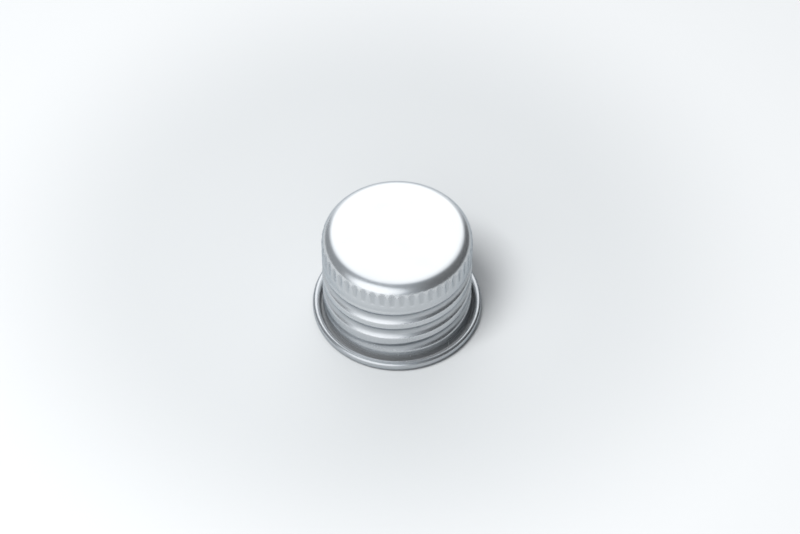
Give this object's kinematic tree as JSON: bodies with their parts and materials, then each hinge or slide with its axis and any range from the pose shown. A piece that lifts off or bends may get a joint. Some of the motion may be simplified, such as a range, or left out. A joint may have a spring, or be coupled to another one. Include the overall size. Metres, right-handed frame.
{
  "type": "aluminium screw cap",
  "caption": "Drawn aluminium screw cap with a fluted grip, a rolled right-hand thread and a curled rim, lined with a foamed plastic sealing disc.",
  "frame": {"origin": "on the cap's axis, in the plane that the curled rim rests on", "axes": "+Z along the cap's axis, up through the closed top; the thread's groove starts at 140 degrees clockwise from +X, seen from above"},
  "size_m": [0.0324, 0.0324, 0.0217],
  "materials": {
    "bright_aluminium": "fine brushed, clear lacquered",
    "liner_foam": "matte, fine closed cells"
  },
  "bodies": {
    "root": {"cap_shell": "bright_aluminium", "sealing_liner": "liner_foam"}
  },
  "joints": []
}
